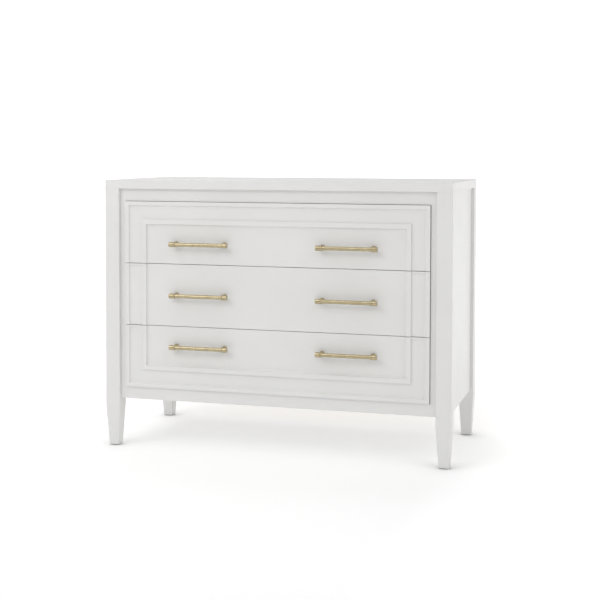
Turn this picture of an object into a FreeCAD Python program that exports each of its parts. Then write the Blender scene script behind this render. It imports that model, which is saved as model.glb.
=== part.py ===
"""Three-drawer chest on square posts with tapered feet, as a FreeCAD document.

Case coordinates: X is the width, Y runs back from the posts' front faces and Z is up from
the floor. Every finished piece is then shifted along Y by layout.front_y, which puts the
origin at the bottom centre of the whole chest, pulls included.
"""
import FreeCAD, Part
import Sketcher
import os

doc = FreeCAD.newDocument("campaign_chest")

# --------------------------------------------------------------------------------------
# Driving dimensions, in millimetres
# --------------------------------------------------------------------------------------
SIZES = [
    # overall
    ("case_width", 1118, "over the posts"),
    ("case_depth", 508, "over the posts"),
    ("case_height", 857, "floor to the top of the slab"),
    # slab and posts
    ("slab_thickness", 28, ""),
    ("post_width", 48, "square"),
    ("arris", 1.2, "flat on the slab's and posts' outer edges"),
    ("foot_width", 32, "square, at the foot's end"),
    ("leg_straight", 23, "straight part of the legs between the case and the taper"),
    ("glide_height", 3, ""),
    ("glide_radius", 11, ""),
    # face frame
    ("apron_bottom", 155, "underside of the case"),
    ("bottom_rail_height", 38, ""),
    ("frieze_height", 39, ""),
    ("stile_width", 18.25, "the part beside the post that shows"),
    ("face_recess", 11, "face frame behind the posts' front"),
    ("face_thickness", 20, ""),
    ("tongue_thickness", 8, ""),
    ("tongue_length", 6, ""),
    # side and back
    ("panel_recess", 10.5, "side panel in from the posts' outer face"),
    ("panel_thickness", 12, ""),
    ("panel_tongue", 8, "how far the panel enters a post"),
    ("back_recess", 10, "back panel in from the posts' rear face"),
    ("back_thickness", 6, ""),
    ("back_tongue", 6, ""),
    ("rear_rail_height", 60, ""),
    ("rear_rail_thickness", 20, ""),
    ("bottom_panel_thickness", 12, ""),
    ("divider_thickness", 18, ""),
    ("divider_width", 70, ""),
    # drawer fronts
    ("front_gap", 1.5, "beside and between the fronts"),
    ("edge_gap", 1.2, "above the top front and below the bottom one"),
    ("bottom_extra", 2.5, "the bottom front is this much taller than the others"),
    ("front_thickness", 26, "at the beads"),
    ("bead_recess", 4, "bead faces behind the posts' front"),
    ("band_recess", 9, "flat band behind the posts' front"),
    ("field_recess", 10.5, "centre field behind the posts' front"),
    ("outer_bead", 12.25, "width of the bead at the edge"),
    ("band_width", 44.5, ""),
    ("inner_bead", 14.5, "width of the bead round the field"),
    ("bead_ease", 1.2, "radius of the beads' outer arrises"),
    ("lip_height", 6, "lip across the band at a front's upper edge"),
    ("lip_recess", 6.5, "lip face behind the posts' front"),
    # drawer boxes
    ("box_clearance", 10.5, "box above the divider rail under it"),
    ("box_headroom", 19.5, "box below the divider rail over it"),
    ("box_rear_gap", 22, "box's end to the rear rails"),
    ("box_thickness", 12, "sides, sub-front and back"),
    ("box_bottom_thickness", 6, ""),
    ("box_bottom_rise", 12, "bottom board above the box's lower edge"),
    ("box_groove", 6, "depth of the bottom board's groove"),
    ("box_back_inset", 8, "box back in from the sides' ends"),
    ("box_back_housing", 4, "how far the box back enters the sides"),
    ("pin_width", 14, "between two dovetails, at their roots"),
    ("tail_flare", 2, "slope of a dovetail's flank over the sub-front"),
    # telescopic slides
    ("slide_space", 12.7, "cleat to drawer side"),
    ("slide_height", 45.7, ""),
    ("slide_setback", 4, "slide behind the face frame"),
    ("slide_rear_gap", 15, "slide's end short of the box's"),
    ("slide_rise", 50, "slide's centre above the box's lower edge"),
    ("slide_gauge", 1.2, "sheet thickness"),
    ("slide_lip", 3.5, "height of the ball race lips"),
    ("slide_clearance", 0.75, "running clearance between members"),
    ("cleat_height", 60, ""),
    # pulls
    ("pull_spacing", 477, "between the two pulls' centres"),
    ("pull_centres", 160, "between a pull's posts"),
    ("pull_overhang", 16, "pull's end beyond a post's axis"),
    ("pull_projection", 22.5, "field to the bar's axis"),
    ("bar_radius", 6.2, ""),
    ("collar_radius", 8, ""),
    ("collar_inboard", 4, "collar's inner end from a post's axis"),
    ("pull_post_radius", 4, ""),
    ("base_radius", 7.5, "round base against the drawer front"),
    ("base_thickness", 2.5, ""),
    # fasteners
    ("screw_radius", 2, "pull screws"),
    ("screw_head_radius", 4, ""),
    ("screw_head_height", 2.4, ""),
    ("screw_grip", 9, "how far a pull screw enters its post"),
    ("screw_clearance", 0.3, "hole larger than its screw, on the radius"),
    ("thread_clearance", 0.05, "tapped hole larger than its screw, on the radius"),
    ("back_screw_radius", 1.8, ""),
    ("back_screw_length", 18, "below the head"),
    ("back_screw_head", 3.8, "head radius"),
    ("back_screw_inset", 30, "end screws in from the posts"),
]
# Counts; screws, their holes and the foot glides are drawn with few sides
BACK_SCREWS_PER_RAIL = 5
DOVETAILS = 4
FASTENER_SIDES = 6
GLIDE_SIDES = 12

sizes = doc.addObject("Spreadsheet::Sheet", "sizes")
for row, (alias, number, note) in enumerate(SIZES, start=1):
    sizes.set(f"A{row}", alias)
    sizes.set(f"B{row}", str(number))
    sizes.set(f"C{row}", note)
    sizes.setAlias(f"B{row}", alias)
doc.recompute()

# Places worked out from the driving dimensions, each from those above it
LAYOUT = [
    ("bar_y", "sizes.field_recess - sizes.pull_projection"),
    ("front_y", "(sizes.collar_radius - bar_y - sizes.case_depth) / 2"),
    ("half_width", "sizes.case_width / 2"),
    ("post_inner", "half_width - sizes.post_width"),
    ("slab_under", "sizes.case_height - sizes.slab_thickness"),
    ("panel_outer", "half_width - sizes.panel_recess"),
    ("panel_inner", "panel_outer - sizes.panel_thickness"),
    ("rear_post_front", "sizes.case_depth - sizes.post_width"),
    ("back_inner", "sizes.case_depth - sizes.back_recess - sizes.back_thickness"),
    ("rear_rail_front", "back_inner - sizes.rear_rail_thickness"),
    ("face_back", "sizes.face_recess + sizes.face_thickness"),
    ("tongue_front", "sizes.face_recess + (sizes.face_thickness - sizes.tongue_thickness) / 2"),
    ("tongue_back", "tongue_front + sizes.tongue_thickness"),
    ("taper_start", "sizes.apron_bottom - sizes.leg_straight"),
    ("opening_low", "sizes.apron_bottom + sizes.bottom_rail_height"),
    ("opening_high", "slab_under - sizes.frieze_height"),
    ("opening_half", "post_inner - sizes.stile_width"),
    ("front_half", "opening_half - sizes.front_gap"),
    ("front_back", "sizes.bead_recess + sizes.front_thickness"),
    ("front_height", "(opening_high - opening_low - 2 * sizes.edge_gap - 2 * sizes.front_gap"
                     " - sizes.bottom_extra) / 3"),
    ("bottom_low", "opening_low + sizes.edge_gap"),
    ("bottom_high", "bottom_low + front_height + sizes.bottom_extra"),
    ("middle_low", "bottom_high + sizes.front_gap"),
    ("middle_high", "middle_low + front_height"),
    ("top_low", "middle_high + sizes.front_gap"),
    ("top_high", "top_low + front_height"),
    ("frame_width", "sizes.outer_bead + sizes.band_width + sizes.inner_bead"),
    ("band_outer", "front_half - sizes.outer_bead"),
    ("band_inner", "band_outer - sizes.band_width"),
    ("field_outer", "band_inner - sizes.inner_bead"),
    ("band_cove", "sizes.band_recess - sizes.bead_recess"),
    ("field_cove", "sizes.field_recess - sizes.bead_recess"),
    ("top_pull_z", "(top_low + top_high - frame_width) / 2"),
    ("middle_pull_z", "(middle_low + middle_high) / 2"),
    ("bottom_pull_z", "(bottom_low + bottom_high + frame_width) / 2"),
    ("rail_over_gap", "(sizes.divider_thickness - sizes.front_gap) / 2"),
    ("box_rise", "rail_over_gap + sizes.box_clearance"),
    ("box_height", "front_height - box_rise - rail_over_gap - sizes.box_headroom"),
    ("box_half", "opening_half - sizes.slide_space"),
    ("box_inner", "box_half - sizes.box_thickness"),
    ("box_back", "rear_rail_front - sizes.box_rear_gap"),
    ("sub_back", "front_back + sizes.box_thickness"),
    ("tail_pitch", f"box_height / {DOVETAILS}"),
    ("tail_half", "(tail_pitch - sizes.pin_width) / 2"),
    ("slide_front", "face_back + sizes.slide_setback"),
    ("slide_length", "box_back - sizes.slide_rear_gap - slide_front"),
    ("slide_half", "sizes.slide_height / 2"),
    ("middle_reach", "sizes.slide_space - sizes.slide_gauge - sizes.slide_clearance"),
    ("case_reach", "middle_reach - sizes.slide_gauge"),
    ("middle_web", "sizes.slide_gauge + sizes.slide_clearance"),
    ("middle_half", "slide_half - sizes.slide_lip - sizes.slide_clearance"),
    ("drawer_half", "middle_half - sizes.slide_lip - sizes.slide_clearance"),
    ("drawer_flange", "middle_web + sizes.slide_gauge + sizes.slide_clearance"),
    ("pull_half", "sizes.pull_centres / 2 + sizes.pull_overhang"),
    ("collar_start", "sizes.pull_centres / 2 - sizes.collar_inboard"),
    ("screw_tip_y", "sizes.field_recess - sizes.screw_grip"),
]
layout = doc.addObject("App::VarSet", "layout")
for name, rule in LAYOUT:
    layout.addProperty("App::PropertyFloat", name)
    layout.setExpression(name, rule)
doc.recompute()


def value(expression):
    """The present value of an expression, for a sketch's first guess."""
    return float(layout.evalExpression(expression))


# --------------------------------------------------------------------------------------
# Building blocks
# --------------------------------------------------------------------------------------
nodes = []


def node(piece, label):
    """Name a finished piece and shift it from case coordinates into the chest's frame."""
    piece.Label = label
    own_place = dict(piece.ExpressionEngine).get(".Placement.Base.y", "0")
    piece.setExpression("Placement.Base.y", f"layout.front_y + {own_place}")
    nodes.append(piece)
    return piece


def board(name, x, y, z):
    """A flat board between two places along each axis."""
    box = doc.addObject("Part::Box", name)
    for size, axis, (low, high) in (("Length", "x", x), ("Width", "y", y), ("Height", "z", z)):
        box.setExpression(size, f"({high}) - ({low})")
        box.setExpression(f"Placement.Base.{axis}", f"({low})")
    return box


def rod(name, radius, start, end, x="0", y="0", z="0", along="x", sides=0):
    """A rod from start to end along X or Y, round unless it is given a number of sides."""
    turn = {"x": FreeCAD.Rotation(FreeCAD.Vector(0, 1, 0), 90),
            "y": FreeCAD.Rotation(FreeCAD.Vector(1, 0, 0), -90)}[along]
    result = doc.addObject("Part::Prism" if sides else "Part::Cylinder", name)
    if sides:
        result.Polygon = sides
    result.setExpression("Circumradius" if sides else "Radius", radius)
    result.setExpression("Height", f"({end}) - ({start})")
    result.Placement.Rotation = turn
    spot = {"x": x, "y": y, "z": z, along: start}
    for axis, place in spot.items():
        result.setExpression(f"Placement.Base.{axis}", f"({place})")
    return result


def drilling(name, radius, start, end, x, z):
    """A screw's shank or head, or the hole for one, along Y."""
    return rod(name, radius, start, end, x=x, z=z, along="y", sides=FASTENER_SIDES)


def cut(name, base, tools):
    """base with every tool taken out of it."""
    result = doc.addObject("Part::Cut", name)
    result.Base = base
    result.Tool = group(name + "_tools", tools)
    return result


def fuse(name, pieces):
    result = doc.addObject("Part::MultiFuse", name)
    result.Shapes = pieces
    return result


def group(name, pieces):
    """Separate solids under one name."""
    result = doc.addObject("Part::Compound", name)
    result.Links = pieces
    return result


def mirrored(name, piece):
    """The same piece on the other side of the chest."""
    result = doc.addObject("Part::Mirroring", name)
    result.Source = piece
    result.Base = FreeCAD.Vector(0, 0, 0)
    result.Normal = FreeCAD.Vector(1, 0, 0)
    return result


def body(name):
    return doc.addObject("PartDesign::Body", name)


def sketch(owner, name, role, offset="0"):
    """A sketch on one of its body's origin planes, moved along the plane's normal."""
    result = owner.newObject("Sketcher::SketchObject", name)
    plane = next(item for item in owner.Origin.OriginFeatures if item.Role == role)
    result.AttachmentSupport = [(plane, "")]
    result.MapMode = "FlatFace"
    result.setExpression("AttachmentOffset.Base.z", f"({offset})")
    return result


def hold(drawing, kind, geometry, point, expression):
    """Fix one coordinate of a sketch point to an expression."""
    number = drawing.addConstraint(Sketcher.Constraint(kind, geometry, point, value(expression)))
    drawing.setExpression(f"Constraints[{number}]", expression)


def outline(drawing, corners, closed=True):
    """Join corners with straight lines.

    A corner is (x, y), or (x, y, "arc", centre_x, centre_y, way) where the line to the next
    corner is an arc about that centre, way 1 anticlockwise and -1 clockwise.
    """
    spots = [FreeCAD.Vector(value(corner[0]), value(corner[1]), 0) for corner in corners]
    count = len(corners) if closed else len(corners) - 1
    starts = []
    for index in range(count):
        first, last = spots[index], spots[(index + 1) % len(spots)]
        if len(corners[index]) == 2:
            drawing.addGeometry(Part.LineSegment(first, last), False)
            starts.append((1, 2))
            continue
        centre = FreeCAD.Vector(value(corners[index][3]), value(corners[index][4]), 0)
        way = corners[index][5]
        begin, end = (first, last) if way > 0 else (last, first)
        circle = Part.Circle(centre, FreeCAD.Vector(0, 0, 1), (first - centre).Length)
        arc = Part.ArcOfCircle(circle, circle.parameter(begin), circle.parameter(end))
        drawing.addGeometry(arc, False)
        starts.append((1, 2) if way > 0 else (2, 1))
    for index in range(count if closed else count - 1):
        following = (index + 1) % count
        drawing.addConstraint(
            Sketcher.Constraint("Coincident", index, starts[index][1], following, starts[following][0]))
    for index in range(count):
        hold(drawing, "DistanceX", index, starts[index][0], corners[index][0])
        hold(drawing, "DistanceY", index, starts[index][0], corners[index][1])
        if len(corners[index]) > 2:
            hold(drawing, "DistanceX", index, 3, corners[index][3])
    if not closed:
        hold(drawing, "DistanceX", count - 1, 2, corners[-1][0])
        hold(drawing, "DistanceY", count - 1, 2, corners[-1][1])


def rectangle(drawing, x, y):
    """A rectangle between two places each way."""
    (left, right), (low, high) = x, y
    outline(drawing, [(left, low), (right, low), (right, high), (left, high)])


def pad(owner, name, drawing, length):
    result = owner.newObject("PartDesign::Pad", name)
    result.Profile = drawing
    result.setExpression("Length", length)
    return result


def upright(name, corners, z):
    """A piece with one plan all the way from a lower to an upper height."""
    owner = body(name)
    plan = sketch(owner, name + "_plan", "XY_Plane", z[0])
    outline(plan, corners)
    pad(owner, name + "_pad", plan, f"({z[1]}) - ({z[0]})")
    return owner


def both_ways(corners):
    """Corners from the middle to the right, followed by their mirror images on the left."""
    return corners + [(f"-({x})", y) for x, y in reversed(corners)]


# --------------------------------------------------------------------------------------
# Case
# --------------------------------------------------------------------------------------
CASE_HEIGHTS = ("sizes.apron_bottom", "layout.slab_under")
SIDES = (("left", "-1"), ("right", "1"))


def ends(side, inner, outer):
    """Low and high X of something between two distances from the middle, on one side."""
    return (inner, outer) if side == "right" else (f"-({outer})", f"-({inner})")


def top_slab():
    """A plain board with a flat along every edge but the lower ones."""
    slab = body("slab")
    plan = sketch(slab, "slab_plan", "XY_Plane", "layout.slab_under")
    rectangle(plan, ("-layout.half_width", "layout.half_width"), ("0", "sizes.case_depth"))
    block = pad(slab, "slab_pad", plan, "sizes.slab_thickness")
    doc.recompute()
    middle = block.Shape.BoundBox.Center.z
    edges = [f"Edge{number}" for number, edge in enumerate(block.Shape.Edges, start=1)
             if edge.BoundBox.ZMax > middle]
    flats = slab.newObject("PartDesign::Chamfer", "slab_arris")
    flats.Base = (block, edges)
    flats.setExpression("Size", "sizes.arris")
    node(slab, "top_slab")


def square_leg(name, turn, x, y, foot, head):
    """An upright square, head wide down to the knee and narrowing to foot below it."""
    stages = (("shaft", "layout.taper_start", "layout.slab_under", head, head),
              ("taper", "sizes.glide_height", "layout.taper_start", foot, head))
    blocks = []
    for stage, low, high, low_width, high_width in stages:
        block = doc.addObject("Part::Wedge", f"{name}_{stage}")
        block.setExpression("Ymin", low)
        block.setExpression("Ymax", high)
        for axis in ("X", "Z"):
            block.setExpression(f"{axis}min", f"-({low_width}) / 2")
            block.setExpression(f"{axis}max", f"({low_width}) / 2")
            block.setExpression(f"{axis}2min", f"-({high_width}) / 2")
            block.setExpression(f"{axis}2max", f"({high_width}) / 2")
        block.Placement.Rotation = FreeCAD.Rotation(turn, 0, 90)
        block.setExpression("Placement.Base.x", x)
        block.setExpression("Placement.Base.y", y)
        blocks.append(block)
    return fuse(name, blocks)


def post(side, place):
    """A square post with tapered foot; a second square, turned by 45 degrees, takes off its arrises."""
    name = f"post_{place}_{side}"
    x = {"left": "-", "right": ""}[side] + "(layout.half_width - sizes.post_width / 2)"
    y = {"front": "sizes.post_width / 2", "rear": "sizes.case_depth - sizes.post_width / 2"}[place]
    timber = doc.addObject("Part::MultiCommon", name + "_timber")
    timber.Shapes = [
        square_leg(name + "_square", 0, x, y, "sizes.foot_width", "sizes.post_width"),
        square_leg(name + "_arrises", 45, x, y, "sqrt(2) * (sizes.foot_width - sizes.arris)",
                   "sqrt(2) * (sizes.post_width - sizes.arris)"),
    ]

    panel_slot = {"front": ("sizes.post_width - sizes.panel_tongue", "sizes.post_width"),
                  "rear": ("layout.rear_post_front", "layout.rear_post_front + sizes.panel_tongue")}
    inner_slot = {"front": ("layout.tongue_front", "layout.tongue_back"),
                  "rear": ("layout.back_inner", "layout.back_inner + sizes.back_thickness")}
    slot_depth = {"front": "sizes.tongue_length", "rear": "sizes.back_tongue"}
    grooves = [
        board(name + "_panel_groove", ends(side, "layout.panel_inner", "layout.panel_outer"),
              panel_slot[place], CASE_HEIGHTS),
        board(name + "_inner_groove",
              ends(side, "layout.post_inner", f"layout.post_inner + {slot_depth[place]}"),
              inner_slot[place], CASE_HEIGHTS),
    ]
    node(cut(name + "_grooved", timber, grooves), name)


def face_frame():
    """Frieze and bottom rails between the posts, and a stile beside each post."""
    reach = "layout.post_inner + sizes.tongue_length"
    rail = both_ways([
        ("layout.post_inner", "sizes.face_recess"), ("layout.post_inner", "layout.tongue_front"),
        (reach, "layout.tongue_front"), (reach, "layout.tongue_back"),
        ("layout.post_inner", "layout.tongue_back"), ("layout.post_inner", "layout.face_back"),
    ])
    node(upright("frieze", rail, ("layout.opening_high", "layout.slab_under")), "frieze_rail")
    node(upright("apron", rail, ("sizes.apron_bottom", "layout.opening_low")), "bottom_rail")
    for side, sign in SIDES:
        plan = [("layout.opening_half", "sizes.face_recess"), ("layout.post_inner", "sizes.face_recess"),
                ("layout.post_inner", "layout.tongue_front"), (reach, "layout.tongue_front"),
                (reach, "layout.tongue_back"), ("layout.post_inner", "layout.tongue_back"),
                ("layout.post_inner", "layout.face_back"), ("layout.opening_half", "layout.face_back")]
        corners = [(f"{sign} * ({x})", y) for x, y in plan]
        node(upright(f"stile_{side}_board", corners, ("layout.opening_low", "layout.opening_high")),
             f"stile_{side}")


def side_panels():
    depth = ("sizes.post_width - sizes.panel_tongue", "layout.rear_post_front + sizes.panel_tongue")
    for side, _ in SIDES:
        across = ends(side, "layout.panel_inner", "layout.panel_outer")
        node(board(f"side_{side}", across, depth, CASE_HEIGHTS), f"side_panel_{side}")


def back_screw_places():
    """X and Z of each screw through the back panel, and which rail it enters."""
    span = "(layout.post_inner - sizes.back_screw_inset)"
    heights = {"upper": "layout.slab_under - sizes.rear_rail_height / 2",
               "lower": "sizes.apron_bottom + sizes.rear_rail_height / 2"}
    for rail, height in heights.items():
        for index in range(BACK_SCREWS_PER_RAIL):
            share = 2 * index / (BACK_SCREWS_PER_RAIL - 1) - 1
            yield rail, index, f"{share} * {span}", height


def back_assembly():
    """Back panel in the rear posts' grooves, screwed to two rails."""
    skin = "layout.back_inner + sizes.back_thickness"
    tip = f"{skin} - sizes.back_screw_length"
    holes = {"panel": [], "upper": [], "lower": []}
    screws = []
    for rail, index, x, z in back_screw_places():
        name = f"back_{rail}_{index}"
        shank = drilling(name + "_shank", "sizes.back_screw_radius", tip, skin, x, z)
        head = drilling(name + "_head", "sizes.back_screw_head", skin,
                        f"{skin} + sizes.screw_head_height", x, z)
        screws.append(fuse(name + "_screw", [shank, head]))
        for piece, slack in (("panel", "sizes.screw_clearance"), (rail, "sizes.thread_clearance")):
            radius = f"sizes.back_screw_radius + {slack}"
            holes[piece].append(drilling(f"{name}_{piece}_hole", radius, tip, skin, x, z))

    reach = "layout.post_inner + sizes.back_tongue"
    panel = board("back_sheet", (f"-({reach})", reach), ("layout.back_inner", skin), CASE_HEIGHTS)
    node(cut("back_drilled", panel, holes["panel"]), "back_panel")
    across = ("-layout.post_inner", "layout.post_inner")
    depth = ("layout.rear_rail_front", "layout.back_inner")
    rails = {"upper": ("layout.slab_under - sizes.rear_rail_height", "layout.slab_under"),
             "lower": ("sizes.apron_bottom", "sizes.apron_bottom + sizes.rear_rail_height")}
    for rail, heights in rails.items():
        plank = board(f"rear_{rail}_plank", across, depth, heights)
        node(cut(f"rear_{rail}_drilled", plank, holes[rail]), f"rear_rail_{rail}")
    node(group("back_screw_set", screws), "back_screws")


def bottom_panel():
    """Dust bottom, notched round the posts."""
    corners = both_ways([
        ("layout.post_inner", "layout.face_back"), ("layout.post_inner", "sizes.post_width"),
        ("layout.panel_inner", "sizes.post_width"), ("layout.panel_inner", "layout.rear_post_front"),
        ("layout.post_inner", "layout.rear_post_front"), ("layout.post_inner", "layout.rear_rail_front"),
    ])
    heights = ("layout.opening_low - sizes.bottom_panel_thickness", "layout.opening_low")
    node(upright("dust_bottom", corners, heights), "bottom_panel")


def divider_rails():
    """Rails behind the gaps between the fronts, against the stiles and posts."""
    across = ("-layout.post_inner", "layout.post_inner")
    depth = ("layout.face_back", "layout.face_back + sizes.divider_width")
    for place, above in (("upper", "layout.top_low"), ("lower", "layout.middle_low")):
        middle = f"{above} - sizes.front_gap / 2"
        heights = (f"{middle} - sizes.divider_thickness / 2", f"{middle} + sizes.divider_thickness / 2")
        node(board(f"divider_{place}", across, depth, heights), f"divider_rail_{place}")


def foot_glides():
    glides = []
    for side, sign in SIDES:
        for place, y in (("front", "sizes.post_width / 2"),
                         ("rear", "sizes.case_depth - sizes.post_width / 2")):
            glide = doc.addObject("Part::Prism", f"glide_{place}_{side}")
            glide.Polygon = GLIDE_SIDES
            glide.setExpression("Circumradius", "sizes.glide_radius")
            glide.setExpression("Height", "sizes.glide_height")
            glide.setExpression("Placement.Base.x",
                                f"{sign} * (layout.half_width - sizes.post_width / 2)")
            glide.setExpression("Placement.Base.y", y)
            glides.append(glide)
    node(group("glide_set", glides), "foot_glides")


# --------------------------------------------------------------------------------------
# Drawers
# --------------------------------------------------------------------------------------
def frame_section(drawing, sign):
    """Section of the front's moulding: bead, cove, flat band, bead, cove down to the field."""
    way = int(sign)
    points = [
        ("layout.front_half", "layout.front_back"),
        ("layout.front_half", "sizes.bead_recess + sizes.bead_ease", "arc",
         "layout.front_half - sizes.bead_ease", "sizes.bead_recess + sizes.bead_ease", -way),
        ("layout.front_half - sizes.bead_ease", "sizes.bead_recess"),
        ("layout.band_outer", "sizes.bead_recess", "arc",
         "layout.band_outer - layout.band_cove", "sizes.bead_recess", way),
        ("layout.band_outer - layout.band_cove", "sizes.band_recess"),
        ("layout.band_inner", "sizes.band_recess"),
        ("layout.band_inner", "sizes.bead_recess + sizes.bead_ease", "arc",
         "layout.band_inner - sizes.bead_ease", "sizes.bead_recess + sizes.bead_ease", -way),
        ("layout.band_inner - sizes.bead_ease", "sizes.bead_recess"),
        ("layout.field_outer", "sizes.bead_recess", "arc",
         "layout.field_outer - layout.field_cove", "sizes.bead_recess", way),
        ("layout.field_outer - layout.field_cove", "sizes.field_recess"),
        ("layout.field_outer - layout.field_cove", "layout.front_back"),
    ]
    corners = []
    for point in points:
        corner = [f"{sign} * ({point[0]})", point[1]]
        if len(point) > 2:
            corner += ["arc", f"{sign} * ({point[3]})", point[4], point[5]]
        corners.append(tuple(corner))
    outline(drawing, corners)


def drawer_front(name, low, high, pull_z):
    """Moulded front: a field, and the part of the moulded frame that falls on this drawer."""
    front = body(f"front_{name}_board")
    face = sketch(front, f"front_{name}_face", "XZ_Plane", "-layout.front_back")
    rectangle(face, ("-layout.front_half", "layout.front_half"), (low, high))
    pad(front, f"front_{name}_field", face, "layout.front_back - sizes.field_recess")

    if name == "middle":
        for side, sign in SIDES:
            section = sketch(front, f"front_{name}_section_{side}", "XY_Plane", low)
            frame_section(section, sign)
            pad(front, f"front_{name}_run_{side}", section, f"({high}) - ({low})")
    else:
        begin, turn = (low, high) if name == "top" else (high, low)
        section = sketch(front, f"front_{name}_section", "XY_Plane", begin)
        frame_section(section, "1")
        path = sketch(front, f"front_{name}_path", "XZ_Plane", "-layout.front_back")
        outline(path, [("layout.front_half", begin), ("layout.front_half", turn),
                       ("-layout.front_half", turn), ("-layout.front_half", begin)], closed=False)
        run = front.newObject("PartDesign::AdditivePipe", f"front_{name}_run")
        run.Profile = section
        run.Spine = (path, ["Edge1", "Edge2", "Edge3"])
        run.Transition = "Right corner"

    if name != "top":
        for side, sign in SIDES:
            lip = sketch(front, f"front_{name}_lip_{side}", "XZ_Plane", "-layout.front_back")
            rectangle(lip, (f"{sign} * layout.band_inner", f"{sign} * layout.band_outer"),
                      (f"{high} - sizes.lip_height", high))
            pad(front, f"front_{name}_lip_pad_{side}", lip, "layout.front_back - sizes.lip_recess")

    holes = pull_screw_holes(f"front_{name}", "sizes.field_recess", "layout.front_back", pull_z)
    node(cut(f"front_{name}_drilled", front, holes), f"drawer_front_{name}")


def pull_screw_places():
    """X of the four pull screws in one drawer."""
    for _, side in SIDES:
        for _, end in SIDES:
            yield f"{side} * sizes.pull_spacing / 2 + {end} * sizes.pull_centres / 2"


def pull_screw_holes(name, start, end, pull_z):
    radius = "sizes.screw_radius + sizes.screw_clearance"
    return [drilling(f"{name}_hole_{index}", radius, start, end, x, pull_z)
            for index, x in enumerate(pull_screw_places())]


def box_side_plank(name, side, base):
    """A drawer side with a row of dovetails that pass through the sub-front."""
    top = f"{base} + layout.box_height"
    corners = [("layout.sub_back", base), ("layout.box_back", base), ("layout.box_back", top),
               ("layout.sub_back", top)]
    for index in reversed(range(DOVETAILS)):
        middle = f"{base} + {index + 0.5} * layout.tail_pitch"
        upper, lower = f"{middle} + layout.tail_half", f"{middle} - layout.tail_half"
        corners += [("layout.sub_back", upper), ("layout.front_back", f"{upper} + sizes.tail_flare"),
                    ("layout.front_back", f"{lower} - sizes.tail_flare"), ("layout.sub_back", lower)]
    plank = body(f"side_{name}_{side}_plank")
    near, _ = ends(side, "layout.box_inner", "layout.box_half")
    profile = sketch(plank, f"side_{name}_{side}_profile", "YZ_Plane", near)
    outline(profile, corners)
    pad(plank, f"side_{name}_{side}_pad", profile, "sizes.box_thickness")
    return plank


def drawer_box(name, low, pull_z):
    """Dovetailed sides and sub-front, and a housed back, round a bottom board in grooves."""
    base = f"({low} + layout.box_rise)"
    top = f"{base} + layout.box_height"
    sheet_low = f"{base} + sizes.box_bottom_rise"
    sheet_high = f"{sheet_low} + sizes.box_bottom_thickness"
    reach = "layout.box_inner + sizes.box_groove"
    sheet = ((f"-({reach})", reach), ("layout.sub_back - sizes.box_groove", "layout.box_back"),
             (sheet_low, sheet_high))
    node(board(f"bottom_{name}_sheet", *sheet), f"box_bottom_{name}")

    housing = "layout.box_inner + sizes.box_back_housing"
    rear_face = "layout.box_back - sizes.box_back_inset"
    rear = ((f"-({housing})", housing), (f"{rear_face} - sizes.box_thickness", rear_face),
            (sheet_high, top))
    node(board(f"rear_{name}_plank", *rear), f"box_back_{name}")

    planks = []
    for side, _ in SIDES:
        plank = box_side_plank(name, side, base)
        grooves = [board(f"side_{name}_{side}_groove", *sheet), board(f"side_{name}_{side}_housing", *rear)]
        node(cut(f"side_{name}_{side}_grooved", plank, grooves), f"box_side_{side}_{name}")
        planks.append(plank)

    sub = board(f"sub_{name}_plank", ("-layout.box_half", "layout.box_half"),
                ("layout.front_back", "layout.sub_back"), (base, top))
    openings = planks + [board(f"sub_{name}_groove", *sheet)]
    openings += pull_screw_holes(f"sub_{name}", "layout.front_back", "layout.sub_back", pull_z)
    node(cut(f"sub_{name}_drilled", sub, openings), f"box_front_{name}")


def bar_pull(name, side, sign, pull_z):
    """Round bar between two collars, each on a post with a round base."""
    title = f"pull_{name}_{side}"
    centre = f"{sign} * sizes.pull_spacing / 2"
    at_bar = {"y": "layout.bar_y", "z": pull_z, "along": "x"}
    bar = rod(title + "_bar", "sizes.bar_radius", f"{centre} - layout.collar_start",
              f"{centre} + layout.collar_start", **at_bar)
    solids = [bar]
    for end, way in SIDES:
        reach = sorted((f"{centre} + {way} * layout.collar_start",
                        f"{centre} + {way} * layout.pull_half"), key=value)
        solids.append(rod(f"{title}_collar_{end}", "sizes.collar_radius", *reach, **at_bar))
        x = f"{centre} + {way} * sizes.pull_centres / 2"
        at_post = {"x": x, "z": pull_z, "along": "y"}
        stem = rod(f"{title}_stem_{end}", "sizes.pull_post_radius", "layout.bar_y",
                   "sizes.field_recess", **at_post)
        foot = rod(f"{title}_base_{end}", "sizes.base_radius",
                   "sizes.field_recess - sizes.base_thickness", "sizes.field_recess", **at_post)
        saddle = rod(f"{title}_saddle_{end}", "sizes.collar_radius", f"{x} - sizes.base_radius",
                     f"{x} + sizes.base_radius", **at_bar)
        bore = drilling(f"{title}_bore_{end}", "sizes.screw_radius + sizes.thread_clearance",
                        "layout.screw_tip_y", "sizes.field_recess", x, pull_z)
        solids.append(cut(f"{title}_post_{end}", fuse(f"{title}_turned_{end}", [stem, foot]),
                          [saddle, bore]))
    node(group(title + "_set", solids), title)


def pull_screws(name, pull_z):
    screws = []
    for index, x in enumerate(pull_screw_places()):
        shank = drilling(f"screw_{name}_{index}_shank", "sizes.screw_radius", "layout.screw_tip_y",
                         "layout.sub_back", x, pull_z)
        head = drilling(f"screw_{name}_{index}_head", "sizes.screw_head_radius", "layout.sub_back",
                        "layout.sub_back + sizes.screw_head_height", x, pull_z)
        screws.append(fuse(f"screw_{name}_{index}", [shank, head]))
    node(group(f"screw_{name}_set", screws), f"pull_screws_{name}")


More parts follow.
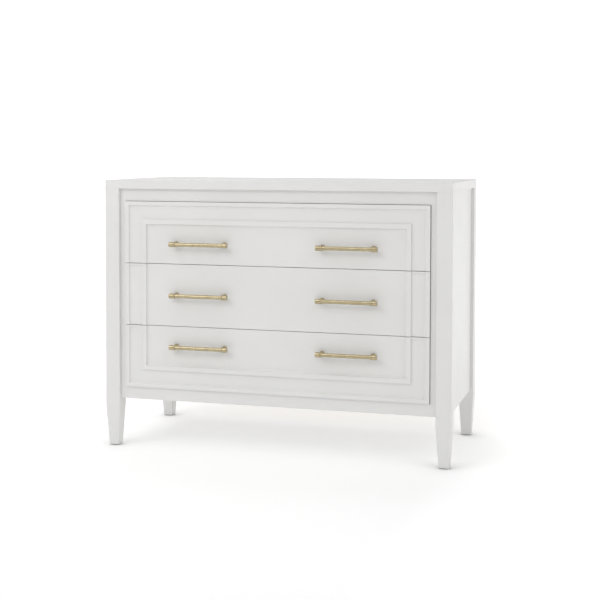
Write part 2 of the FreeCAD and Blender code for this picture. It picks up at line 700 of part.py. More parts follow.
# --------------------------------------------------------------------------------------
# Telescopic slides
# --------------------------------------------------------------------------------------
def slide_member(name, corners, centre_z):
    """A rolled-steel member, drawn looking along Y: places in from the cleat, and heights."""
    owner = body(name)
    section = sketch(owner, name + "_section", "XZ_Plane", "-layout.slide_front")
    placed = [(f"layout.opening_half - ({depth})", f"{centre_z} + ({height})")
              for depth, height in corners]
    outline(section, placed)
    strip = pad(owner, name + "_strip", section, "layout.slide_length")
    strip.Reversed = True
    return owner


def channel(near, far, half, lip):
    """Corners of a channel with its web at near, its lips turned in at far."""
    gauge = "sizes.slide_gauge"
    upper = [(near, half), (far, half), (far, f"{half} - {lip}"),
             (f"{far} - {gauge}", f"{half} - {lip}"),
             (f"{far} - {gauge}", f"{half} - {gauge}"), (f"{near} + {gauge}", f"{half} - {gauge}")]
    return upper + [(depth, f"-({height})") for depth, height in reversed(upper)]


def open_channel(web, edge, half):
    """Corners of a plain channel with its web at web and its flanges reaching back to edge."""
    gauge = "sizes.slide_gauge"
    upper = [(web, half), (edge, half), (edge, f"{half} - {gauge}"),
             (f"{web} - {gauge}", f"{half} - {gauge}")]
    return upper + [(depth, f"-({height})") for depth, height in reversed(upper)]


def slides(name, low):
    """Three nested members each side: on the cleat, in the middle and on the drawer."""
    centre = f"({low} + layout.box_rise + sizes.slide_rise)"
    members = {
        "case": channel("0", "layout.case_reach", "layout.slide_half", "sizes.slide_lip"),
        "middle": channel("layout.middle_web", "layout.middle_reach", "layout.middle_half",
                          "sizes.slide_lip"),
        "drawer": open_channel("sizes.slide_space", "layout.drawer_flange", "layout.drawer_half"),
    }
    for member, corners in members.items():
        title = f"slide_{member}_member_{name}"
        right = slide_member(title + "_right", corners, centre)
        node(group(title + "_set", [right, mirrored(title + "_left", right)]), title)

    half = "sizes.cleat_height / 2"
    cleat = board(f"cleat_{name}_right", ("layout.opening_half", "layout.post_inner"),
                  ("layout.face_back", "layout.rear_rail_front"),
                  (f"{centre} - {half}", f"{centre} + {half}"))
    node(group(f"cleat_{name}_set", [cleat, mirrored(f"cleat_{name}_left", cleat)]),
         f"slide_cleats_{name}")


# --------------------------------------------------------------------------------------
# Assembly
# --------------------------------------------------------------------------------------
def drawer(name):
    low, high, pull_z = (f"layout.{name}_{what}" for what in ("low", "high", "pull_z"))
    drawer_front(name, low, high, pull_z)
    drawer_box(name, low, pull_z)
    for side, sign in SIDES:
        bar_pull(name, side, sign, pull_z)
    pull_screws(name, pull_z)
    slides(name, low)


def check_document():
    """Stop if a feature failed or a finished piece isn't a valid closed solid."""
    for item in doc.Objects:
        if {"Invalid", "Error"} & set(item.State):
            raise RuntimeError(f"{item.Name}: {item.State}")
    for piece in nodes:
        shape = piece.Shape
        if shape.isNull() or not shape.isValid() or not shape.Solids or shape.Volume <= 0:
            raise RuntimeError(f"{piece.Label} isn't a valid solid")


def build():
    top_slab()
    for side, _ in SIDES:
        for place in ("front", "rear"):
            post(side, place)
    face_frame()
    side_panels()
    back_assembly()
    bottom_panel()
    divider_rails()
    foot_glides()
    for name in ("top", "middle", "bottom"):
        drawer(name)
    doc.recompute()
    check_document()
    os.makedirs("parts", exist_ok=True)
    for piece in nodes:
        piece.Shape.exportStep(os.path.join("parts", piece.Label + ".step"))


build()
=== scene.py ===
"""Looks of a three-drawer campaign chest: satin white paint, satin brass pulls, wooden drawers."""
import math

import bmesh
import bpy
from mathutils import Matrix, Vector


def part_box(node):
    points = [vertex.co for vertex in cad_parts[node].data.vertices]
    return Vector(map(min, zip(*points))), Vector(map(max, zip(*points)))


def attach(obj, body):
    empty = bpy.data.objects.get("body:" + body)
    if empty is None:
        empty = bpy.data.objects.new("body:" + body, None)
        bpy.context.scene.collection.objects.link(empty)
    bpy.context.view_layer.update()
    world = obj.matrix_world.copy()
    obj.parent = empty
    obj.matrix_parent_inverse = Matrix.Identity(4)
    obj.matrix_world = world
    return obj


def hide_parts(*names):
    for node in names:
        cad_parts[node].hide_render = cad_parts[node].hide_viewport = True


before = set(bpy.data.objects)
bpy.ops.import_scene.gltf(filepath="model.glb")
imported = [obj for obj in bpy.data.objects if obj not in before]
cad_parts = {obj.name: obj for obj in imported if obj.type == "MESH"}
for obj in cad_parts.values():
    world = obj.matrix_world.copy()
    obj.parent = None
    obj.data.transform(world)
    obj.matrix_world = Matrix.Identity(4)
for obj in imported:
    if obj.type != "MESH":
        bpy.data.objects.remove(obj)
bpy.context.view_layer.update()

DRAWERS = ("top", "middle", "bottom")
SIDES = ("left", "right")


# --------------------------------------------------------------------------------------
# Shader nodes
# --------------------------------------------------------------------------------------
# A Mix node's colour sockets, which share their names with its number and vector sockets
COLOUR_A, COLOUR_B, COLOUR_RESULT = 6, 7, 2
# Cosines between the rolled and the flat normal, where an arris starts and where it is full
ARRIS_START, ARRIS_FULL = 0.985, 0.86


class Shader:
    """One material's node tree, built a node at a time round a Principled surface.

    Lengths are metres, because textures run in object coordinates.
    """

    def __init__(self, name, **surface):
        self.material = bpy.data.materials.new(name)
        self.material.use_nodes = True
        self.tree = self.material.node_tree
        self.tree.nodes.clear()
        output = self.tree.nodes.new("ShaderNodeOutputMaterial")
        self.surface = self.add("BsdfPrincipled", **surface)
        self.tree.links.new(self.surface.outputs["BSDF"], output.inputs["Surface"])
        self.place = self.add("TexCoord").outputs["Object"]

    def add(self, kind, settings=None, **inputs):
        """A node with its settings, and inputs that are numbers, colours or other sockets."""
        node = self.tree.nodes.new("ShaderNode" + kind)
        for name, value in (settings or {}).items():
            setattr(node, name, value)
        for name, value in inputs.items():
            self.feed(node.inputs[name.replace("_", " ")], value)
        return node

    def feed(self, socket, value):
        """Link a socket to an input, or set the input to a plain value."""
        if isinstance(value, bpy.types.NodeSocket):
            self.tree.links.new(value, socket)
        else:
            socket.default_value = value

    def math(self, operation, first, second=0.0, third=0.0):
        node = self.add("Math", {"operation": operation})
        for socket, value in zip(node.inputs, (first, second, third)):
            self.feed(socket, value)
        return node.outputs[0]

    def stretch(self, scale, turn=(0, 0, 0), shift=(0, 0, 0)):
        """Object coordinates turned and scaled, so that a texture runs along one axis."""
        node = self.add("Mapping", Vector=self.place, Location=shift, Rotation=turn, Scale=scale)
        return node.outputs["Vector"]

    def noise(self, vector, scale, detail=2.0, distortion=0.0):
        node = self.add("TexNoise", Vector=vector, Scale=scale, Detail=detail, Distortion=distortion)
        return node.outputs["Fac"]

    def remap(self, value, low, high, to_low=0.0, to_high=1.0):
        """A value carried from one range to another, and held at its ends."""
        node = self.add("MapRange", Value=value, From_Min=low, From_Max=high, To_Min=to_low, To_Max=to_high)
        return node.outputs["Result"]

    def blend(self, share, first, second):
        """Two colours mixed, all of the first at a share of 0 and all of the second at 1."""
        node = self.add("Mix", {"data_type": "RGBA"})
        self.feed(node.inputs["Factor"], share)
        self.feed(node.inputs[COLOUR_A], first)
        self.feed(node.inputs[COLOUR_B], second)
        return node.outputs[COLOUR_RESULT]

    def bump(self, height, distance, normal=None):
        """Relief of a height in metres, on top of another normal if one is given."""
        node = self.add("Bump", Height=height, Distance=distance)
        if normal:
            self.feed(node.inputs["Normal"], normal)
        return node.outputs["Normal"]

    def rounded(self, radius):
        """A normal that rolls over arrises, and how much it rolls, from 0 on flats to 1."""
        bevel = self.add("Bevel", {"samples": 4}, Radius=radius).outputs["Normal"]
        flat = self.add("NewGeometry").outputs["True Normal"]
        product = self.add("VectorMath", {"operation": "DOT_PRODUCT"})
        self.feed(product.inputs[0], bevel)
        self.feed(product.inputs[1], flat)
        return bevel, self.remap(product.outputs["Value"], ARRIS_START, ARRIS_FULL)

    def finish(self, colour, roughness, normal):
        self.feed(self.surface.inputs["Base Color"], colour)
        self.feed(self.surface.inputs["Roughness"], roughness)
        self.feed(self.surface.inputs["Normal"], normal)
        return self.material


# Turns that lay a texture's first axis along X, Y or Z
ALONG = {"x": (0, 0, 0), "y": (0, 0, -math.pi / 2), "z": (0, math.pi / 2, 0)}


def rgba(red, green, blue):
    return (red, green, blue, 1.0)


# --------------------------------------------------------------------------------------
# Finishes
# --------------------------------------------------------------------------------------
# Shift of the growth rings' heart from the middle of the chest, across the grain
TREE_HEART = (0.0, 0.13, -0.21)
# A pore's tone as a share of the late wood's
PORE_SHADE = 0.55
# Just under five, so that the far face still lies in the last of the plies, numbered 0 to 4
PLIES = 4.999


def painted(name, grain):
    """Sprayed satin white on closed-grain wood, a trace of which shows along each member."""
    shader = Shader(name, IOR=1.5)
    rolled, edge = shader.rounded(0.0011)
    cloud = shader.noise(shader.place, 5.0, 3.0)
    tone = shader.blend(shader.remap(cloud, 0.3, 0.7), rgba(0.762, 0.757, 0.742), rgba(0.785, 0.78, 0.766))
    # Painted shade: the white is drawn up to 5% towards a grey-brown where ambient occlusion finds a crease
    # or corner within 4 mm
    crease_shade = shader.add("AmbientOcclusion", {"samples": 6}, Distance=0.004).outputs["AO"]
    tone = shader.blend(shader.remap(crease_shade, 0.6, 0.2, 0.0, 0.05), tone, rgba(0.6, 0.585, 0.555))
    rubbed = shader.math("MULTIPLY", edge, shader.remap(shader.noise(shader.place, 38.0, 4.0), 0.45, 0.7))
    tone = shader.blend(shader.math("MULTIPLY", rubbed, 0.25), tone, rgba(0.73, 0.705, 0.66))
    along = shader.stretch((14.0, 420.0, 420.0), ALONG[grain])
    strokes = shader.noise(along, 1.0, 4.0, 0.4)
    peel = shader.noise(shader.place, 620.0, 1.0)
    relief = shader.math("MULTIPLY_ADD", strokes, 1.6, peel)
    sheen = shader.remap(shader.noise(shader.place, 11.0, 3.0), 0.3, 0.7, 0.36, 0.46)
    sheen = shader.math("MULTIPLY_ADD", rubbed, -0.08, sheen)
    return shader.finish(tone, sheen, shader.bump(relief, 0.00004, rolled))


def wooden(name, grain, early, late, ring=0.0042, roughness=0.5):
    """Solid wood: growth rings about a far axis, so that faces and end grain agree."""
    shader = Shader(name, IOR=1.45)
    from_heart = shader.stretch((1.0, 1.0, 1.0), ALONG[grain], TREE_HEART)
    slow = shader.stretch((1.2, 7.0, 7.0), ALONG[grain])
    wander = shader.add("TexNoise", Vector=slow, Scale=1.0, Detail=3.0)
    drift = shader.add("VectorMath", {"operation": "MULTIPLY_ADD"})
    shader.feed(drift.inputs[0], wander.outputs["Color"])
    shader.feed(drift.inputs[1], (0.0, 0.05, 0.05))
    shader.feed(drift.inputs[2], from_heart)
    flat = shader.add("VectorMath", {"operation": "MULTIPLY"})
    shader.feed(flat.inputs[0], drift.outputs["Vector"])
    shader.feed(flat.inputs[1], (0.0, 1.0, 1.0))
    radius = shader.add("VectorMath", {"operation": "LENGTH"})
    shader.feed(radius.inputs[0], flat.outputs["Vector"])
    phase = shader.math("FRACT", shader.math("DIVIDE", radius.outputs["Value"], ring))
    rings = shader.math("POWER", phase, 2.4)
    fibre = shader.noise(shader.stretch((9.0, 900.0, 900.0), ALONG[grain]), 1.0, 3.0)
    specks = shader.noise(shader.stretch((60.0, 2600.0, 2600.0), ALONG[grain]), 1.0)
    pores = shader.remap(specks, 0.62, 0.72)
    figure = shader.math("MULTIPLY_ADD", fibre, 0.45, shader.math("MULTIPLY", rings, 0.75))
    tone = shader.blend(figure, early, late)
    shadow = rgba(*(PORE_SHADE * value for value in late[:3]))
    tone = shader.blend(shader.math("MULTIPLY", pores, 0.3), tone, shadow)
    rolled, edge = shader.rounded(0.0007)
    tone = shader.blend(shader.math("MULTIPLY", edge, 0.25), tone, early)
    relief = shader.math("SUBTRACT", shader.math("MULTIPLY", fibre, 0.6), pores)
    gloss = shader.math("MULTIPLY_ADD", fibre, 0.16, roughness - 0.08)
    return shader.finish(tone, gloss, shader.bump(relief, 0.00006, rolled))


def layered(name, across, thickness, start, face, core, sealed=False):
    """Plywood: quiet rotary-cut figure on its faces, plies of changing grain on its edges.

    A sealed board has white primer on the face where it starts.
    """
    shader = Shader(name, IOR=1.45)
    axis = shader.add("SeparateXYZ", Vector=shader.place).outputs[across.upper()]
    depth = shader.math("DIVIDE", shader.math("SUBTRACT", axis, start), thickness)
    ply = shader.math("FLOOR", shader.math("MULTIPLY", depth, PLIES))
    odd = shader.math("MODULO", shader.math("ABSOLUTE", ply), 2.0)
    swirl = shader.noise(shader.stretch((2.2, 16.0, 16.0), ALONG["x"]), 1.0, 4.0, 2.2)
    bands = shader.math("FRACT", shader.math("MULTIPLY", swirl, 7.0))
    fibre = shader.noise(shader.stretch((10.0, 800.0, 800.0), ALONG["x"]), 1.0, 3.0)
    figure = shader.math("MULTIPLY_ADD", fibre, 0.5, shader.math("MULTIPLY", bands, 0.4))
    tone = shader.blend(figure, face, core)
    tone = shader.blend(shader.math("MULTIPLY", odd, 0.55), tone, core)
    if sealed:
        coats = shader.noise(shader.place, 7.0, 3.0)
        primer = shader.blend(coats, rgba(0.7, 0.7, 0.69), rgba(0.66, 0.66, 0.65))
        tone = shader.blend(shader.remap(depth, 0.04, 0.01), tone, primer)
    rolled, _ = shader.rounded(0.0005)
    gloss = shader.math("MULTIPLY_ADD", fibre, 0.2, 0.46)
    return shader.finish(tone, gloss, shader.bump(fibre, 0.00005, rolled))


def brushed_brass():
    """Satin brass under clear lacquer, brushed along its length."""
    shader = Shader("satin_brass", Metallic=1.0)
    lines = shader.noise(shader.stretch((26.0, 2400.0, 2400.0)), 1.0, 3.0)
    cloud = shader.noise(shader.place, 42.0, 3.0)
    tone = shader.blend(shader.remap(cloud, 0.35, 0.7), rgba(0.49, 0.415, 0.265), rgba(0.41, 0.34, 0.205))
    tone = shader.blend(shader.math("MULTIPLY", lines, 0.22), tone, rgba(0.62, 0.545, 0.38))
    gloss = shader.math("MULTIPLY_ADD", lines, 0.08, shader.remap(cloud, 0.3, 0.7, 0.21, 0.26))
    return shader.finish(tone, gloss, shader.bump(lines, 0.000012))


def plated(name, tone, worn, along, roughness):
    """Plated steel: fine spangle, and drawing marks along one axis."""
    shader = Shader(name, Metallic=1.0)
    grains = shader.add("TexVoronoi", Vector=shader.place, Scale=260.0).outputs["Color"]
    spangle = shader.add("SeparateColor", Color=grains).outputs["Red"]
    marks = shader.noise(shader.stretch((8.0, 1500.0, 1500.0), ALONG[along]), 1.0, 3.0)
    cloud = shader.noise(shader.place, 24.0, 4.0)
    mixed = shader.math("MULTIPLY_ADD", spangle, 0.35, shader.math("MULTIPLY", cloud, 0.6))
    rolled, edge = shader.rounded(0.0004)
    colour = shader.blend(mixed, tone, worn)
    colour = shader.blend(shader.math("MULTIPLY", edge, 0.4), colour, rgba(0.86, 0.87, 0.88))
    gloss = shader.math("MULTIPLY_ADD", marks, 0.22, shader.math("MULTIPLY_ADD", spangle, 0.06, roughness))
    return shader.finish(colour, gloss, shader.bump(marks, 0.00003, rolled))


def moulded_nylon():
    """Cream nylon with a cloudy tone and scuffs from the floor."""
    shader = Shader("nylon", IOR=1.53, Subsurface_Weight=0.08, Subsurface_Radius=(0.002, 0.002, 0.0015))
    cloud = shader.noise(shader.place, 70.0, 3.0)
    scuffs = shader.noise(shader.stretch((90.0, 900.0, 900.0)), 1.0, 4.0)
    tone = shader.blend(cloud, rgba(0.74, 0.71, 0.64), rgba(0.62, 0.585, 0.52))
    tone = shader.blend(shader.remap(scuffs, 0.55, 0.8, 0.0, 0.5), tone, rgba(0.33, 0.3, 0.26))
    gloss = shader.remap(scuffs, 0.3, 0.8, 0.38, 0.6)
    return shader.finish(tone, gloss, shader.bump(scuffs, 0.00008))


PAINT = {grain: painted(f"white_paint_{grain}", grain) for grain in "xyz"}
MAPLE_LIGHT, MAPLE_DARK = rgba(0.7, 0.52, 0.33), rgba(0.52, 0.345, 0.19)
POPLAR_LIGHT, POPLAR_DARK = rgba(0.62, 0.5, 0.33), rgba(0.44, 0.33, 0.19)
MAPLE = {grain: wooden(f"drawer_wood_{grain}", grain, MAPLE_LIGHT, MAPLE_DARK) for grain in "xyz"}
POPLAR = {
    grain: wooden(f"bare_wood_{grain}", grain, POPLAR_LIGHT, POPLAR_DARK, ring=0.006, roughness=0.62)
    for grain in "xyz"
}
BRASS = brushed_brass()
ZINC = plated("zinc_steel", rgba(0.56, 0.58, 0.6), rgba(0.68, 0.69, 0.7), "y", 0.26)
SCREW = plated("screw_steel", rgba(0.5, 0.49, 0.45), rgba(0.66, 0.62, 0.52), "y", 0.24)
NYLON = moulded_nylon()


def sheet_of_ply(node, across, sealed=False):
    """Plywood finish with its plies laid through this board's own thickness, which runs across."""
    low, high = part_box(node)
    axis = "xyz".index(across)
    return layered(f"plywood_{node}", across, high[axis] - low[axis], low[axis],
                   rgba(0.69, 0.54, 0.36), rgba(0.5, 0.36, 0.215), sealed)


def dress(node, material):
    """Give a CAD node its finish."""
    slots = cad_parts[node].data.materials
    slots.clear()
    slots.append(material)


for node in ("top_slab", "frieze_rail", "bottom_rail"):
    dress(node, PAINT["x"])
for side in SIDES:
    for node in (f"post_front_{side}", f"post_rear_{side}", f"stile_{side}", f"side_panel_{side}"):
        dress(node, PAINT["z"])
for node in ("rear_rail_upper", "rear_rail_lower", "divider_rail_upper", "divider_rail_lower"):
    dress(node, POPLAR["x"])
dress("back_panel", sheet_of_ply("back_panel", "y"))
dress("bottom_panel", sheet_of_ply("bottom_panel", "z", sealed=True))
for drawer in DRAWERS:
    dress(f"drawer_front_{drawer}", PAINT["x"])
    dress(f"box_front_{drawer}", MAPLE["x"])
    dress(f"box_back_{drawer}", MAPLE["x"])
    for side in SIDES:
        dress(f"box_side_{side}_{drawer}", MAPLE["y"])
    dress(f"box_bottom_{drawer}", sheet_of_ply(f"box_bottom_{drawer}", "z"))
    dress(f"slide_cleats_{drawer}", POPLAR["y"])
    for member in ("case", "middle", "drawer"):
        dress(f"slide_{member}_member_{drawer}", ZINC)


# --------------------------------------------------------------------------------------
# Turned and made-up pieces
# --------------------------------------------------------------------------------------
def turned(mesh, profile, matrix, segments=48):
    """A closed turning: (radius, height) points spun about Z, then placed by matrix."""
    rings = []
    for radius, height in profile:
        if radius == 0:
            rings.append([mesh.verts.new(matrix @ Vector((0, 0, height)))])
            continue
        angles = [2 * math.pi * step / segments for step in range(segments)]
        rings.append([mesh.verts.new(matrix @ Vector((radius * math.cos(a), radius * math.sin(a), height)))
                      for a in angles])
    for lower, upper in zip(rings, rings[1:]):
        for step in range(segments):
            ahead = (step + 1) % segments
            corners = [lower[step % len(lower)], lower[ahead % len(lower)],
                       upper[ahead % len(upper)], upper[step % len(upper)]]
            mesh.faces.new(list(dict.fromkeys(corners)))


# The most of a run that the rounding at one of its ends may take
EASED_SHARE = 0.45


def eased(profile, radius, steps=3):
    """The profile with every corner off the axis rounded."""
    points = [Vector(point) for point in profile]
    result = [points[0]]
    for before, corner, after in zip(points, points[1:], points[2:]):
        reach = min(radius, EASED_SHARE * (before - corner).length, EASED_SHARE * (after - corner).length)
        first = corner + (before - corner).normalized() * reach
        last = corner + (after - corner).normalized() * reach
        for step in range(steps + 1):
            share = step / steps
            result.append(first * (1 - share) ** 2 + corner * 2 * share * (1 - share) + last * share ** 2)
    return result + [points[-1]]


def piece(name, mesh, material, body, *nodes):
    """Finish a made-up piece that rides on a body and may stand for CAD nodes there."""
    bmesh.ops.recalc_face_normals(mesh, faces=mesh.faces)
    data = bpy.data.meshes.new(name)
    mesh.to_mesh(data)
    mesh.free()
    data.materials.append(material)
    data.shade_smooth()
    made = bpy.data.objects.new(name, data)
    bpy.context.scene.collection.objects.link(made)
    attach(made, body)
    if nodes:
        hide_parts(*nodes)
    return made


# Turns that lay a turning's axis along X, against X and along Y
TO_RIGHT = Matrix.Rotation(math.pi / 2, 4, "Y")
TO_LEFT = Matrix.Rotation(-math.pi / 2, 4, "Y")
TO_BACK = Matrix.Rotation(-math.pi / 2, 4, "X")


def placed(x, y, z, turn=Matrix.Identity(4)):
    return Matrix.Translation((x, y, z)) @ turn


BAR_RADIUS = 0.0062
COLLAR_LENGTH = 0.02
# From a pull's end to the axis of the post there
POST_INSET = 0.016


def bar_pull(drawer, side):
    """Bar between two ringed collars, each on a turned post, inside its CAD node's box."""
    node = f"pull_{drawer}_{side}"
    low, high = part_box(node)
    centre = (low + high) / 2
    collar = (high.z - low.z) / 2
    axis_y = low.y + collar
    half = (high.x - low.x) / 2
    inboard = half - COLLAR_LENGTH
    ring = [(0, 0), (collar, 0), (collar, 0.0042), (collar - 0.0008, 0.0047), (collar - 0.0008, 0.0053),
            (collar, 0.0058), (collar, COLLAR_LENGTH - 0.0005), (collar - 0.0004, COLLAR_LENGTH),
            (0, COLLAR_LENGTH)]
    reach = high.y - axis_y
    stem = [(0.0042, -0.0002), (0.0042, reach - 0.012), (0.0054, reach - 0.009), (0.0088, reach - 0.0026),
            (0.0091, reach - 0.0016), (0.0091, reach), (0, reach)]
    mesh = bmesh.new()
    turned(mesh, [(BAR_RADIUS, -inboard), (BAR_RADIUS, inboard)],
           placed(centre.x, axis_y, centre.z, TO_RIGHT))
    for sign, outward in ((-1, TO_LEFT), (1, TO_RIGHT)):
        post_x = centre.x + sign * (half - POST_INSET)
        turned(mesh, eased(ring, 0.0007), placed(centre.x + sign * inboard, axis_y, centre.z, outward))
        turned(mesh, eased(stem, 0.0005), placed(post_x, axis_y, centre.z, TO_BACK), 32)
    made = piece(f"bar_pull_{drawer}_{side}", mesh, BRASS, f"drawer_{drawer}", node)


# Vertices of one solid that lie closer than this are one
WELD = 0.000002


def solids(node):
    """The lowest and highest corners of each separate solid in a CAD node."""
    mesh = bmesh.new()
    mesh.from_mesh(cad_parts[node].data)
    bmesh.ops.remove_doubles(mesh, verts=mesh.verts, dist=WELD)
    waiting = set(mesh.verts)
    boxes = []
    while waiting:
        found = [waiting.pop()]
        for vertex in found:
            linked = {edge.other_vert(vertex) for edge in vertex.link_edges} & waiting
            waiting -= linked
            found += linked
        corners = list(zip(*(vertex.co for vertex in found)))
        boxes.append((Vector(map(min, corners)), Vector(map(max, corners))))
    mesh.free()
    return sorted(boxes, key=lambda box: (box[0].z, box[0].x, box[0].y))


# A cross recess, in half widths of its arms
ARM = 3.4
CROSS = [(ARM, 1), (1, 1), (1, ARM), (-1, ARM), (-1, 1), (-ARM, 1),
         (-ARM, -1), (-1, -1), (-1, -ARM), (1, -ARM), (1, -1), (ARM, -1)]
# Half an arm's width as a share of the head's radius, and the recess floor's width and height as
# shares of the mouth's
ARM_SHARE, FLOOR_SHARE, FLOOR_HEIGHT = 0.15, 0.7, 0.35
# Rings of vertices in one turn of a thread, its depth, and a screw's least width at its tip
RINGS_PER_TURN, THREAD_DEPTH, TIP_SHARE = 4, 0.2, 0.15
# How much further each screw is turned than the one before it, in radians
DRIVEN = 0.7


def loop_of(mesh, points, matrix):
    """Vertices at the points, placed by matrix."""
    return [mesh.verts.new(matrix @ Vector(point)) for point in points]


def band_between(mesh, lower, upper):
    """Faces between two closed loops of vertices."""
    for step, corner in enumerate(lower):
        ahead = (step + 1) % len(lower)
        mesh.faces.new([corner, lower[ahead], upper[ahead], upper[step]])


def ring_of(mesh, matrix, height, segments, radius_at):
    """A ring of vertices about Z, whose radius may change with the angle."""
    angles = [2 * math.pi * step / segments for step in range(segments)]
    points = [(radius_at(a) * math.cos(a), radius_at(a) * math.sin(a), height) for a in angles]
    return loop_of(mesh, points, matrix)


def screw(mesh, matrix, head_radius, head_height, radius, length, pitch, segments=24):
    """Pan-head screw with a cross recess; its head stands up along +Z and its shank runs down."""
    crown = [(head_radius * 0.9, 0.0), (head_radius, head_height * 0.16), (head_radius, head_height * 0.3),
             (head_radius * 0.95, head_height * 0.62), (head_radius * 0.8, head_height * 0.88),
             (head_radius * 0.62, head_height)]
    rings = []
    steps = round(length / pitch * RINGS_PER_TURN)
    for step in range(steps + 1):
        depth = length * (1 - step / steps)
        taper = min(1.0, (length - depth) / (radius * 2) + TIP_SHARE)

        def threaded(angle):
            turn = (depth / pitch + angle / (2 * math.pi)) % 1.0
            return radius * taper * (1 - THREAD_DEPTH + THREAD_DEPTH * abs(2 * turn - 1))

        rings.append(ring_of(mesh, matrix, -depth, segments, threaded))
    for across, height in crown:
        rings.append(ring_of(mesh, matrix, height, segments, lambda angle: across))
    for lower, upper in zip(rings, rings[1:]):
        band_between(mesh, lower, upper)
    mesh.faces.new(rings[0])
    wide = head_radius * ARM_SHARE
    narrow = wide * FLOOR_SHARE
    mouth = loop_of(mesh, [(x * wide, y * wide, head_height) for x, y in CROSS], matrix)
    floor = loop_of(mesh, [(x * narrow, y * narrow, head_height * FLOOR_HEIGHT) for x, y in CROSS], matrix)
    band_between(mesh, mouth, floor)
    mesh.faces.new(floor)
    rim = [edge for loop in (rings[-1], mouth) for start, end in zip(loop, loop[1:] + loop[:1])
           for edge in [mesh.edges.get((start, end)) or mesh.edges.new((start, end))]]
    bmesh.ops.triangle_fill(mesh, edges=rim, use_beauty=True)


def screws(name, node, body, facing, head_height, radius, pitch):
    """A screw in the place of each solid of a node; its head faces back (1) or front (-1)."""
    mesh = bmesh.new()
    for order, (low, high) in enumerate(solids(node)):
        centre = (low + high) / 2
        seat = (high.y if facing > 0 else low.y) - facing * head_height
        turn = Matrix.Rotation(-facing * math.pi / 2, 4, "X") @ Matrix.Rotation(order * DRIVEN, 4, "Z")
        screw(mesh, placed(centre.x, seat, centre.z, turn), (high.x - low.x) / 2, head_height, radius,
              high.y - low.y - head_height, pitch)
    made = piece(name, mesh, SCREW, body, node)
    made.data.set_sharp_from_angle(angle=math.radians(35))


def glides():
    """Nylon discs with a rolled edge, each held by a nail sunk in its middle."""
    disc = [(0, 0.003), (0.011, 0.003), (0.011, 0.0012), (0.0096, 0), (0.0052, 0), (0.0042, 0.0014),
            (0, 0.0014)]
    nail = [(0, 0.0006), (0.0018, 0.0007), (0.0031, 0.0012), (0.0031, 0.0016), (0, 0.0016)]
    discs, nails = bmesh.new(), bmesh.new()
    for low, high in solids("foot_glides"):
        spot = placed((low.x + high.x) / 2, (low.y + high.y) / 2, low.z)
        turned(discs, eased(disc, 0.0006), spot)
        turned(nails, eased(nail, 0.0003), spot, 24)
    piece("glide_discs", discs, NYLON, "case", "foot_glides")
    piece("glide_nails", nails, SCREW, "case")


for drawer in DRAWERS:
    for side in SIDES:
        bar_pull(drawer, side)
    screws(f"pull_machine_screws_{drawer}", f"pull_screws_{drawer}", f"drawer_{drawer}",
           facing=1, head_height=0.0024, radius=0.002, pitch=0.0007)
screws("back_wood_screws", "back_screws", "case",
       facing=1, head_height=0.0024, radius=0.0018, pitch=0.0012)
glides()


# --------------------------------------------------------------------------------------
# Studio
# --------------------------------------------------------------------------------------
def softbox(name, place, target, size, power):
    """A white rectangular light of a size in metres and a power in watts, aimed at target."""
    data = bpy.data.lights.new(name, "AREA")
    data.shape = "RECTANGLE"
    data.size, data.size_y = size
    data.energy = power
    lamp = bpy.data.objects.new(name, data)
    lamp.location = place
    lamp.rotation_euler = (Vector(target) - Vector(place)).to_track_quat("-Z", "Y").to_euler()
    bpy.context.scene.collection.objects.link(lamp)


softbox("key", place=(-1.9, -2.8, 2.5), target=(0.0, 0.0, 0.4), size=(2.8, 2.6), power=28)
softbox("side", place=(2.5, -1.5, 3.1), target=(0.4, 0.0, 0.4), size=(1.6, 1.2), power=10)
softbox("overhead", place=(-1.3, 0.4, 3.4), target=(-0.3, 0.2, 0.0), size=(4.0, 3.0), power=40)
softbox("bank", place=(-1.3, -3.6, 3.3), target=(0.0, 0.0, 0.3), size=(4.4, 1.4), power=30)

# Strength of the wall behind the chest, of the studio before it, and overhead at the left and right
WHITE, SHADE, DOME, EAST = 1.02, 0.25, 0.38, 1.12
# Painted light: glow of the floor before the chest, under it and far behind it, and what is added at its
# right
GLOW_FORE, GLOW_NEAR, GLOW_FAR, GLOW_RIGHT = 0.27, 0.39, 1.02, 0.17
# How far round it a foot darkens the floor's glow, as a painted contact shadow
CONTACT_SHADOW_REACH = 0.09
FLOOR_HALF = 60.0


def studio_sky():
    """A white wall behind the chest, a shaded studio before it, and a dome above.

    The dome is brightest at the right front.
    """
    world = bpy.data.worlds.new("studio")
    world.use_nodes = True
    tree = world.node_tree
    direction = tree.nodes.new("ShaderNodeTexCoord")
    parts = tree.nodes.new("ShaderNodeSeparateXYZ")
    tree.links.new(direction.outputs["Generated"], parts.inputs[0])

    def fade(part, start, end, first, last):
        """From first to last as one part of the direction goes from start to end."""
        node = tree.nodes.new("ShaderNodeMapRange")
        tree.links.new(parts.outputs[part], node.inputs["Value"])
        for name, value in (("From Min", start), ("From Max", end), ("To Min", first), ("To Max", last)):
            if isinstance(value, float):
                node.inputs[name].default_value = value
            else:
                tree.links.new(value, node.inputs[name])
        return node.outputs["Result"]

    wall = fade("Y", -0.3, 0.3, SHADE, WHITE)
    background = tree.nodes["Background"]
    background.inputs["Color"].default_value = rgba(1.0, 1.0, 1.0)
    upper = fade("X", 0.2, 0.7, DOME, fade("Y", -0.3, 0.4, EAST, DOME))
    tree.links.new(fade("Z", 0.2, 0.38, wall, upper), background.inputs["Strength"])
    bpy.context.scene.world = world


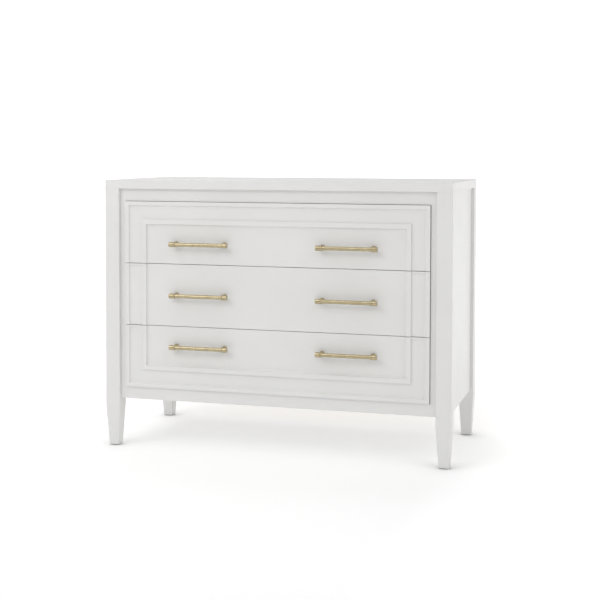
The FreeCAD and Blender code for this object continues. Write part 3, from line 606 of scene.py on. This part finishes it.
def studio_floor():
    """Pale paper glowing as painted light, brightest behind the chest, with painted shadow by its feet."""
    shader = Shader("floor_paper", IOR=1.3, Emission_Color=rgba(1.0, 1.0, 1.0))
    mottle = shader.noise(shader.place, 2.0, 3.0)
    tone = shader.blend(mottle, rgba(0.77, 0.77, 0.77), rgba(0.79, 0.79, 0.79))
    fibre = shader.noise(shader.place, 900.0, 2.0)
    away = shader.add("VectorMath", {"operation": "LENGTH"})
    shader.feed(away.inputs[0], shader.place)
    spread = shader.add("SeparateXYZ", Vector=shader.place).outputs
    # Painted light: the glow rises from before the chest to under it, lightening and placing the shadow
    # under the chest
    under = shader.remap(spread["Y"], -0.5, 0.15, GLOW_FORE, GLOW_NEAR)
    rim = shader.remap(spread["Y"], -1.5, 0.5, GLOW_FORE, GLOW_FAR)
    glow = shader.remap(away.outputs["Value"], 0.6, 4.0, under, rim)
    # Painted light added at the chest's right, and the glow dimmed beyond 1.1 m to the right
    glow = shader.math("ADD", glow, shader.remap(spread["X"], 0.5, 0.85, 0.0, GLOW_RIGHT))
    glow = shader.math("MULTIPLY", glow, shader.remap(spread["X"], 1.1, 1.6, 1.0, 0.8))
    # Painted contact shadow: the glow drops to a tenth where ambient occlusion finds the feet or the chest
    # close by
    painted_contact_shadow = shader.add("AmbientOcclusion", {"samples": 8}, Distance=CONTACT_SHADOW_REACH).outputs["AO"]
    glow = shader.math("MULTIPLY", glow, shader.remap(painted_contact_shadow, 0.45, 0.95, 0.1, 1.0))
    shader.feed(shader.surface.inputs["Emission Strength"], glow)
    material = shader.finish(tone, shader.remap(fibre, 0.2, 0.8, 0.75, 0.9), shader.bump(fibre, 0.00005))
    mesh = bmesh.new()
    bmesh.ops.create_grid(mesh, x_segments=12, y_segments=12, size=FLOOR_HALF)
    data = bpy.data.meshes.new("floor")
    mesh.to_mesh(data)
    mesh.free()
    data.materials.append(material)
    floor = bpy.data.objects.new("floor", data)
    bpy.context.scene.collection.objects.link(floor)


studio_sky()
studio_floor()
bpy.context.scene.view_settings.view_transform = "Standard"

# Camera: from the front right, a little above the slab, as fitted to the photograph's edges
YAW, PITCH, ROLL = math.radians(16.295), math.radians(2.514), math.radians(0.083)
STAND = (1.1167, -3.8366, 0.9488)
LENS, SHIFT_X, SHIFT_Y = 73.47, 0.0124, -0.1583
camera_data = bpy.data.cameras.new("camera")
camera_data.sensor_width = 36.0
camera_data.lens = LENS
camera_data.shift_x = SHIFT_X
camera_data.shift_y = SHIFT_Y
camera_data.clip_start, camera_data.clip_end = 0.1, 100.0
camera = bpy.data.objects.new("camera", camera_data)
bpy.context.scene.collection.objects.link(camera)
camera.matrix_world = (
    Matrix.Translation(STAND) @ Matrix.Rotation(YAW, 4, "Z")
    @ Matrix.Rotation(math.pi / 2 - PITCH, 4, "X") @ Matrix.Rotation(ROLL, 4, "Z")
)
bpy.context.scene.camera = camera
